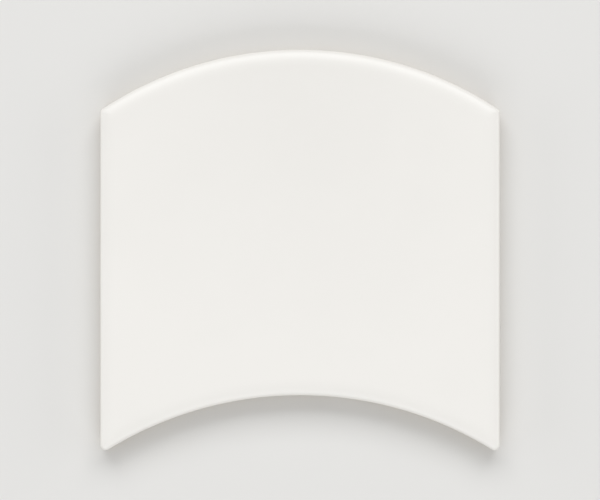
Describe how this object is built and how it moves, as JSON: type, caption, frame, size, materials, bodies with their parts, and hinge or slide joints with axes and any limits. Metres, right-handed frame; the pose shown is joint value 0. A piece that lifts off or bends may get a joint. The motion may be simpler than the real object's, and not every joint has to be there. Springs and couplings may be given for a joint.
{
  "type": "wave wall tile",
  "caption": "White glazed ceramic wall tile with straight sides, a convex crown and a matching concave cove, so that rows nest into waves, with a cushion edge and a keyed back.",
  "frame": {"origin": "middle of the back, on the centreline, halfway between the top of the crown and the top of the cove", "axes": "+Z out of the glazed face, +Y towards the crown, +X to the right seen from the face"},
  "size_m": [0.1, 0.1002, 0.008],
  "materials": {
    "white_glaze": "warm white satin-gloss glaze on the face and upper edges, bare pale fired clay on the lower edges and back"
  },
  "bodies": {
    "root": {"wave_tile": "white_glaze"}
  },
  "joints": []
}
